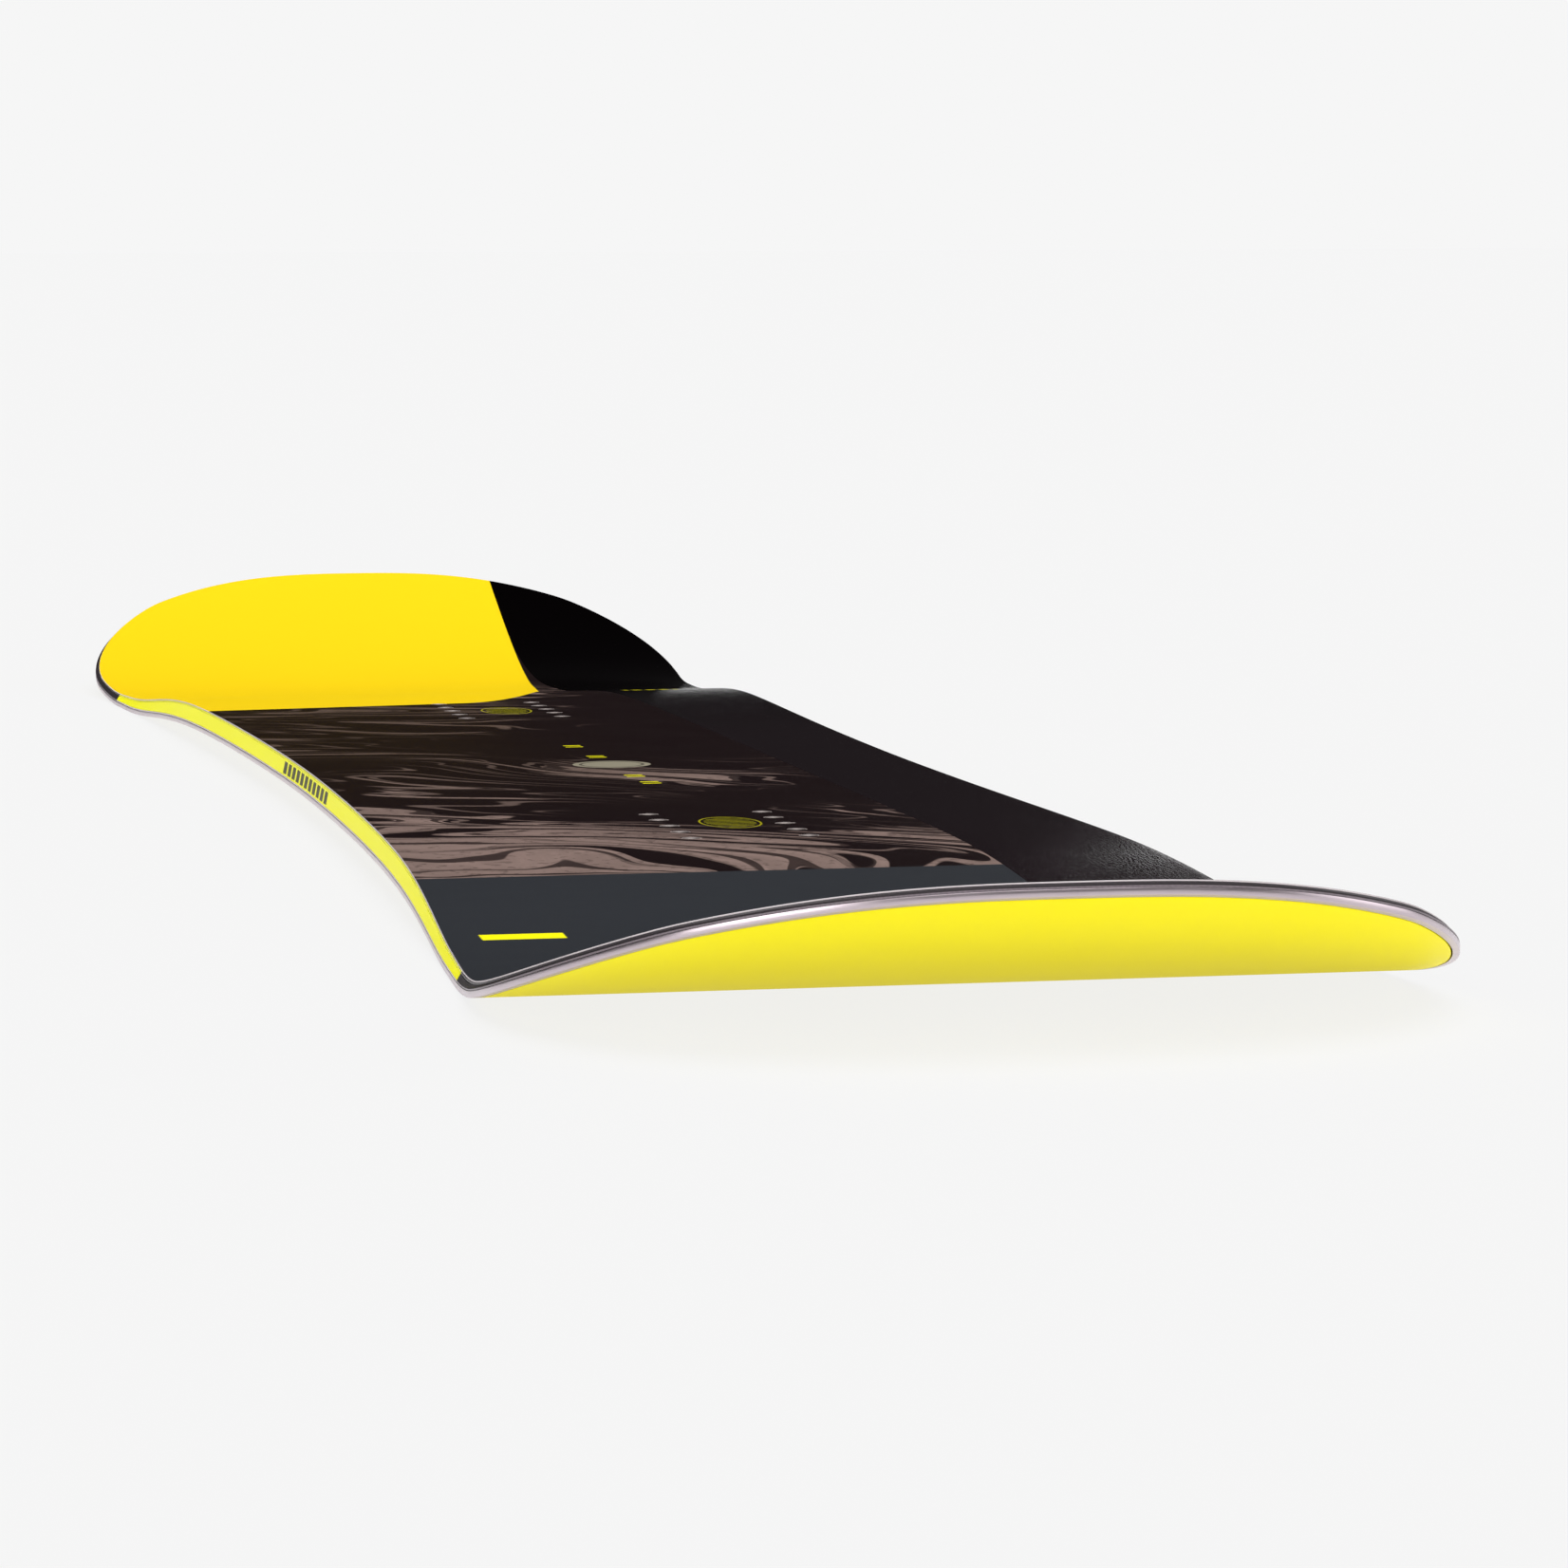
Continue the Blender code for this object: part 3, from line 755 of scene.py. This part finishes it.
def edge_steel(colours):
    """Hardened steel, ground along its length, with faint darker stains."""
    f = Finish("edge_steel", Metallic=1.0)
    spot, x, y, z = f.coordinates()
    grinding = f.noise(f.vector(x * 18.0, y * 18.0, z * 5200.0), 1.0, 3.0)
    stain = f.noise(spot, 45.0, 4.0)
    shade = f.mottled(stain * 0.3, colours["steel"], 0.72)
    return f.set(Base_Color=shade, Roughness=0.22 + grinding * 0.16 + stain * 0.06,
                 Normal=f.bump(grinding, 0.00003, 0.4))


def insert_steel(colours):
    """Turned stainless steel, with a fine ring pattern round each insert and painted shade in its bore."""
    f = Finish("insert_steel", Metallic=0.6)
    spot, x, y, _ = f.coordinates()
    s = bpy.context.scene.board_shape
    cell_x = ((abs(x) - s.stance / 2) / s.insert_pitch + 10.5).fraction() - 0.5
    cell_y = abs(y) - s.row_spacing / 2
    radius = ((cell_x * s.insert_pitch) ** 2.0 + cell_y * cell_y) ** 0.5
    rings = (radius * (2 * math.pi / 0.00022)).sine() * 0.5 + 0.5
    stain = f.noise(spot, 120.0, 3.0)
    inside = radius.below(s.bore_radius + SINK_WIDTH, 0.0001)
    shade = f.mottled(stain * 0.4, colours["insert"], 0.7)
    # painted shade: the bore and its countersink are darkened strongly
    shade = f.blend(inside * 0.8, shade, dimmed(colours["insert"], 0.22))
    return f.set(Base_Color=shade, Roughness=0.50 + rings * 0.12 + stain * 0.08,
                 Normal=f.bump(rings, 0.00002, 0.5))


def core_wood(name, light, dark):
    """Planed hardwood strip, its grain along the board."""
    f = Finish(name, IOR=1.5)
    _, x, y, z = f.coordinates()
    drift = f.noise(f.vector(x * 2.0, y * 14.0, z * 14.0), 1.0, 2.0)
    rings = f.noise(f.vector(x * 3.0, y * 260.0 + drift * 14.0, z * 260.0), 1.0, 4.0, 0.6)
    pores = f.noise(f.vector(x * 90.0, y * 2400.0, z * 2400.0), 1.0, 2.0).below(0.42, 0.05)
    shade = f.blend(rings, light, dark)
    shade = f.blend(pores * 0.35, shade, dimmed(dark, 0.5))
    return f.set(Base_Color=shade, Roughness=0.55 + rings * 0.15, Normal=f.bump(pores, 0.00005, 0.5))


def edge_rubber():
    """Matt black rubber foil."""
    f = Finish("edge_rubber", IOR=1.5)
    grain = f.noise(f.coordinates()[0], 700.0, 2.0)
    shade = f.blend(grain, (0.012, 0.012, 0.012), (0.035, 0.034, 0.033))
    return f.set(Base_Color=shade, Roughness=0.62 + grain * 0.2, Normal=f.bump(grain, 0.00005, 0.5))


# ---------------- operators

def board():
    """The board's form, from its settings."""
    return BoardForm(bpy.context.scene.board_shape)


def shades():
    """The chosen colours as plain tuples, by name."""
    group = bpy.context.scene.board_colours
    return {name: tuple(getattr(group, name)) for name in BoardColours.__annotations__}


def node_names(start):
    """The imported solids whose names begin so."""
    return sorted(name for name in frame["nodes"] if name.startswith(start))


class SNOWBOARD_OT_base(bpy.types.Operator):
    """Build the base sheet inside the steel edge."""

    bl_idname = "snowboard.base"
    bl_label = "Base sheet"

    def execute(self, context):
        form, bm = board(), bmesh.new()
        under, over = form.over_base(0.0), form.over_base(BASE_TOP)
        plate(form, bm, [(BASE_RIM, under), (BASE_RIM, over)])
        add_piece("base", bm, base_plastic(shades()), "base_sheet")
        return {"FINISHED"}


class SNOWBOARD_OT_edges(bpy.types.Operator):
    """Build the two steel edges with their rounded corners and T anchors."""

    bl_idname = "snowboard.edges"
    bl_label = "Steel edges"

    def execute(self, context):
        form = board()
        steel = edge_steel(shades())
        ease = 0.00018
        corner = ((ease, 0.0), (ease * 0.3, ease * 0.3), (0.0, ease))
        profile = [(EDGE_INNER, form.over_base(0.0))]
        profile += [(EDGE_OUTER - inwards, form.over_base(up)) for inwards, up in corner]
        profile += [(EDGE_OUTER - inwards, form.over_base(EDGE_HIGH - down))
                    for inwards, down in reversed(corner)]
        profile += [(EDGE_INNER, form.over_base(EDGE_HIGH))]
        for side, word in ((1, "right"), (-1, "left")):
            bm = bmesh.new()
            rail(form, bm, side, profile, gap=0.00001)
            self.anchors(form, bm, side)
            add_piece(f"edge_{word}", bm, steel, f"steel_edge_{word}")
        return {"FINISHED"}

    def anchors(self, form, bm, side):
        """Necks and bars that reach from the bead in over the base sheet."""
        limit, pitch = 0.600, 0.044
        neck, bar = 0.0025, 0.0070
        neck_length, bar_depth, root = 0.003, 0.0026, 0.0005
        count = round(2 * limit / pitch)
        for i in range(count):
            x = -limit + (i + 0.5) * 2 * limit / count
            bead = form.half_width(x, EDGE_INNER)
            joint = bead - neck_length
            tip = joint - bar_depth
            plan = [(neck, bead + root), (neck, joint), (bar, joint), (bar, tip),
                    (-bar, tip), (-bar, joint), (-neck, joint), (-neck, bead + root)]
            low, high = ([bm.verts.new((x + dx, side * y, form.base(x + dx) + height)) for dx, y in plan]
                         for height in (ANCHOR_LOW, ANCHOR_HIGH))
            bm.faces.new(low)
            bm.faces.new(high)
            skin(bm, [low, high])


class SNOWBOARD_OT_laminates(bpy.types.Operator):
    """Build the two glass laminates, whose cut edges show as thin lines."""

    bl_idname = "snowboard.laminates"
    bl_label = "Glass laminates"

    def execute(self, context):
        form = board()
        bm = bmesh.new()
        plate(form, bm, [(BOTTOM_GLASS_RIM, form.over_base(height)) for height in BOTTOM_GLASS])
        clear = glass_laminate("glass_bottom", colour(206, 194, 200), colour(158, 146, 152),
                               beyond=colour(112, 101, 108))
        add_piece("laminate_bottom", bm, clear, "bottom_laminate")
        bm = bmesh.new()
        plate(form, bm, [(rim, form.under_deck(depth)) for rim, depth in zip(TOP_GLASS_RIMS, TOP_GLASS)])
        drill(form, bm)
        tinted = glass_laminate("glass_top", shades()["sidewall"], colour(150, 146, 60),
                                beyond=colour(56, 49, 53))
        add_piece("laminate_top", bm, tinted, "top_laminate")
        return {"FINISHED"}


class SNOWBOARD_OT_sidewalls(bpy.types.Operator):
    """Build the sidewalls, planed at an angle, and the tip spacers."""

    bl_idname = "snowboard.sidewalls"
    bl_label = "Sidewalls and tip spacers"

    def execute(self, context):
        form = board()
        lemon = sidewall_plastic(shades())
        low, high = form.over_base(CORE_LOW), form.under_deck(CORE_HIGH)
        profile = [(SIDEWALL_INNER, low), (BOTTOM_GLASS_RIM, low),
                   (SIDEWALL_TOP_RIM, high), (SIDEWALL_INNER, high)]
        for side, word in ((1, "right"), (-1, "left")):
            bm = bmesh.new()
            rail(form, bm, side, profile, ends=(-SPACER_START, SPACER_START))
            add_piece(f"wall_{word}", bm, lemon, f"sidewall_{word}")
        black = spacer_plastic(shades())
        for end, word in ((1, "nose"), (-1, "tail")):
            bm = bmesh.new()
            tip_plate(form, bm, [(SPACER_FOOT, low), (SPACER_HEAD, high)], SPACER_START + SPACER_GAP, end)
            add_piece(f"spacer_{word}", bm, black, f"tip_spacer_{word}")
        return {"FINISHED"}


def drill(form, bm):
    """Cut a round hole through a layer in the middle of every insert cell."""
    s = form.shape
    radius = s.insert_radius + HOLE_PLAY
    length, middle = 0.006, 0.001
    cutter = bmesh.new()
    for end in (1, -1):
        for x in form.insert_rows():
            for side in (1, -1):
                place = Matrix.Translation((end * x, side * s.row_spacing / 2, form.deck(x) - middle))
                bmesh.ops.create_cone(cutter, cap_ends=True, segments=HOLE_SIDES, radius1=radius,
                                      radius2=radius, depth=length, matrix=place)
    solid = bpy.data.meshes.new("plate")
    bmesh.ops.recalc_face_normals(bm, faces=bm.faces)
    bm.to_mesh(solid)
    tool = bpy.data.meshes.new("drill")
    cutter.to_mesh(tool)
    cutter.free()
    plate_object = bpy.data.objects.new("plate", solid)
    tool_object = bpy.data.objects.new("drill", tool)
    for item in (plate_object, tool_object):
        bpy.context.scene.collection.objects.link(item)
    cut = plate_object.modifiers.new("drill", "BOOLEAN")
    cut.object = tool_object
    cut.operation = "DIFFERENCE"
    cut.solver = "EXACT"
    bpy.context.view_layer.update()
    result = plate_object.evaluated_get(bpy.context.evaluated_depsgraph_get()).to_mesh()
    bm.clear()
    bm.from_mesh(result)
    for item, data in ((plate_object, solid), (tool_object, tool)):
        bpy.data.objects.remove(item)
        bpy.data.meshes.remove(data)


class SNOWBOARD_OT_topsheet(bpy.types.Operator):
    """Build the printed topsheet with its rounded rim and the holes for the inserts."""

    bl_idname = "snowboard.topsheet"
    bl_label = "Topsheet"

    def execute(self, context):
        form, bm = board(), bmesh.new()
        plate(form, bm, [(-inwards, form.under_deck(depth)) for inwards, depth in SHEET_ROUND])
        drill(form, bm)
        piece = add_piece("deck", bm, deck_print(shades()), "topsheet")
        self.mark_rim(form, piece.data)
        return {"FINISHED"}

    def mark_rim(self, form, mesh):
        """Attribute rim: 1 on the cut edge of the sheet, 0 on its printed face."""
        depth, inset, reach = 0.00016, -0.0006, 0.004
        values = []
        for vertex in mesh.vertices:
            x, y, z = vertex.co
            cut = form.deck(x) - z > depth and abs(y) > form.half_width(x, inset) - reach
            values.append(1.0 if cut else 0.0)
        rim = mesh.attributes.new("rim", "FLOAT", "POINT")
        rim.data.foreach_set("value", values)


class SNOWBOARD_OT_inserts(bpy.types.Operator):
    """Build the twenty threaded inserts, flush with the deck."""

    bl_idname = "snowboard.inserts"
    bl_label = "Binding inserts"

    def execute(self, context):
        form = board()
        s = form.shape
        steel = insert_steel(shades())
        for foot, end in (("front", 1), ("rear", -1)):
            for row, side in (("right", 1), ("left", -1)):
                for i, x in enumerate(form.insert_rows(end), 1):
                    bm = bmesh.new()
                    self.turn(bm, self.profile(form, x))
                    tilt = Matrix.Rotation(-math.atan(form.slope(x, form.base)), 4, "Y")
                    at = Matrix.Translation((x, side * s.row_spacing / 2, form.base(x)))
                    bmesh.ops.transform(bm, matrix=at @ tilt, verts=bm.verts)
                    name = f"{foot}_{row}_{i}"
                    add_piece(f"threaded_{name}", bm, steel, f"insert_{name}")
        return {"FINISHED"}

    def profile(self, form, x):
        """Closed outline of the insert in (radius, height): barrel, rim, thread and flange."""
        s = form.shape
        top = form.deck(x) - form.base(x) - BARREL_DEPTH
        bore, barrel, ease = s.bore_radius, s.insert_radius, 0.0002
        outline = [(barrel, FLANGE_HIGH), (barrel, top - ease), (barrel - ease * 0.3, top - ease * 0.3),
                   (barrel - ease, top), (bore + SINK_WIDTH, top), (bore + ease, top - SINK_DEPTH)]
        z = top - THREAD_START
        while z > FLANGE_LOW + THREAD_PITCH:
            outline += [(bore, z), (bore + THREAD_DEPTH, z - THREAD_PITCH / 2)]
            z -= THREAD_PITCH
        return outline + [(bore, FLANGE_LOW + ease), (bore + ease, FLANGE_LOW),
                          (FLANGE_RADIUS, FLANGE_LOW), (FLANGE_RADIUS, FLANGE_HIGH)]

    def turn(self, bm, outline):
        """Turn an outline round the Z axis."""
        rings = []
        for i in range(HOLE_SIDES):
            angle = 2 * math.pi * i / HOLE_SIDES
            rings.append([bm.verts.new((r * math.cos(angle), r * math.sin(angle), z)) for r, z in outline])
        skin(bm, rings + rings[:1])


class SNOWBOARD_OT_core(bpy.types.Operator):
    """Give the wood core and the rubber foil inside the sandwich their materials."""

    bl_idname = "snowboard.core"
    bl_label = "Core and foil"

    def execute(self, context):
        light = core_wood("core_light_wood", colour(206, 168, 118), colour(168, 122, 74))
        dark = core_wood("core_dark_wood", colour(158, 112, 68), colour(112, 74, 42))
        for name in node_names("core_strip"):
            strip = frame["nodes"][name]
            strip.material_slots[0].material = dark if name[-1] in "13" else light
        rubber = edge_rubber()
        for name in node_names("edge_foil"):
            frame["nodes"][name].material_slots[0].material = rubber
        return {"FINISHED"}


class SNOWBOARD_OT_stage(bpy.types.Operator):
    """Lay the pale floor, light it softly and set up the camera."""

    bl_idname = "snowboard.stage"
    bl_label = "Studio"

    def execute(self, context):
        studio = context.scene.studio_settings
        self.floor(studio)
        self.world(studio)
        self.lights(studio)
        self.camera(context)
        context.scene.view_settings.view_transform = "Standard"
        return {"FINISHED"}

    def floor(self, studio):
        """Two sheets of paper: a glowing one that the camera sees, and a matt one hidden from the camera,
        that bounces light and also glows as a soft fill light from below.
        """
        seen = self.sheet("floor", studio, FLOOR_HEIGHT, 0.07, 0.90)
        seen.visible_diffuse = False
        seen.visible_glossy = False
        seen.visible_shadow = False
        # the hidden sheet glows too, as a soft fill light under the board
        bounce = self.sheet("floor_bounce", studio, BOUNCE_HEIGHT, 0.60, 0.42)
        bounce.visible_camera = False

    def sheet(self, name, studio, height, grey, glow):
        """A round sheet of grey paper that also glows."""
        bm = bmesh.new()
        bmesh.ops.create_circle(bm, cap_ends=True, segments=96, radius=studio.floor_radius)
        bmesh.ops.translate(bm, vec=(0, 0, height), verts=bm.verts)
        mesh = bpy.data.meshes.new(name)
        bm.to_mesh(mesh)
        bm.free()
        paper = Finish(name + "_paper", Specular_IOR_Level=0.0, Roughness=1.0, Emission_Strength=glow)
        grain = paper.noise(paper.coordinates()[0], 40.0, 2.0)
        shade = paper.blend(grain * 0.02, (grey,) * 3, (grey * 0.9,) * 3)
        mesh.materials.append(paper.set(Base_Color=shade, Emission_Color=tuple(studio.backdrop)))
        floor = bpy.data.objects.new(name, mesh)
        bpy.context.scene.collection.objects.link(floor)
        return floor

    def world(self, studio):
        """Pale to the eye, and dim as a light, so that the deck mirrors a dark room."""
        world = bpy.data.worlds.new("studio")
        world.use_nodes = True
        bpy.context.scene.world = world
        tree = world.node_tree
        tree.nodes.clear()
        sky = Recipe(tree)
        seen = sky.node("ShaderNodeLightPath", output="Is Camera Ray")
        room = sky.node("ShaderNodeBackground", None, {"Color": (0.02, 0.02, 0.02, 1.0), "Strength": 1.0})
        plain = sky.node("ShaderNodeBackground", None, {"Color": (*studio.backdrop, 1.0), "Strength": 1.0})
        mixed = sky.node("ShaderNodeMixShader", None, {0: seen, 1: room, 2: plain})
        sky.node("ShaderNodeOutputWorld", None, {"Surface": mixed}, None)

    def lights(self, studio):
        """Suns with wide discs, which act as softboxes that light the whole floor evenly."""
        plans = {                  # azimuth, elevation and width of the disc, in degrees
            "key": (20.0, 72.0, 60.0),
            "front": (0.0, 44.0, 40.0),
            "left": (-50.0, 10.0, 44.0),
            "right": (84.0, 16.0, 44.0),
            "rim": (162.8, 9.6, 4.0),
        }
        for name, angles in plans.items():
            azimuth, elevation, spread = (math.radians(angle) for angle in angles)
            data = bpy.data.lights.new(name, "SUN")
            data.energy = getattr(studio, name)
            data.angle = spread
            lamp = bpy.data.objects.new(name, data)
            lamp.rotation_euler = direction(azimuth, elevation).to_track_quat("Z", "Y").to_euler()
            bpy.context.scene.collection.objects.link(lamp)

    def camera(self, context):
        """Stand where the photograph was taken: low, off the nose and a little to its left."""
        position = Vector((2.2428, -0.3872, 0.2187))
        azimuth, elevation, roll = (math.radians(angle) for angle in (-11.545, 5.283, -0.219))
        focal_pixels, frame_pixels, sensor = 6319.4, 1652.0, 36.0
        back = direction(azimuth, elevation)
        right = Vector((-math.sin(azimuth), math.cos(azimuth), 0.0))
        up = back.cross(right)
        side = right * math.cos(roll) + up * math.sin(roll)
        top = right * -math.sin(roll) + up * math.cos(roll)
        data = bpy.data.cameras.new("camera")
        data.sensor_width = sensor
        data.lens = focal_pixels / frame_pixels * sensor
        data.clip_end = 400.0
        camera = bpy.data.objects.new("camera", data)
        camera.matrix_world = Matrix.Translation(position) @ Matrix((side, top, back)).transposed().to_4x4()
        context.scene.collection.objects.link(camera)
        context.scene.camera = camera


STEPS = (SNOWBOARD_OT_stage, SNOWBOARD_OT_base, SNOWBOARD_OT_edges, SNOWBOARD_OT_laminates,
         SNOWBOARD_OT_sidewalls, SNOWBOARD_OT_topsheet, SNOWBOARD_OT_inserts, SNOWBOARD_OT_core)


class SNOWBOARD_PT_panel(bpy.types.Panel):
    """Settings of the board and the buttons that build it."""

    bl_idname = "SNOWBOARD_PT_panel"
    bl_label = "Snowboard"
    bl_space_type = "VIEW_3D"
    bl_region_type = "UI"
    bl_category = "Snowboard"

    def draw(self, context):
        scene = context.scene
        for group in (scene.board_shape, scene.board_colours, scene.studio_settings):
            box = self.layout.box()
            for name in type(group).__annotations__:
                box.prop(group, name)
        for step in STEPS:
            self.layout.operator(step.bl_idname)


CLASSES = (BoardShape, BoardColours, StudioSettings) + STEPS + (SNOWBOARD_PT_panel,)


def register():
    for item in CLASSES:
        bpy.utils.register_class(item)
    bpy.types.Scene.board_shape = bpy.props.PointerProperty(type=BoardShape)
    bpy.types.Scene.board_colours = bpy.props.PointerProperty(type=BoardColours)
    bpy.types.Scene.studio_settings = bpy.props.PointerProperty(type=StudioSettings)


def unregister():
    del bpy.types.Scene.studio_settings
    del bpy.types.Scene.board_colours
    del bpy.types.Scene.board_shape
    for item in reversed(CLASSES):
        bpy.utils.unregister_class(item)


def main():
    """Build everything in order."""
    register()
    for step in STEPS:
        group, name = step.bl_idname.split(".")
        getattr(getattr(bpy.ops, group), name)()


if __name__ == "__main__":
    main()
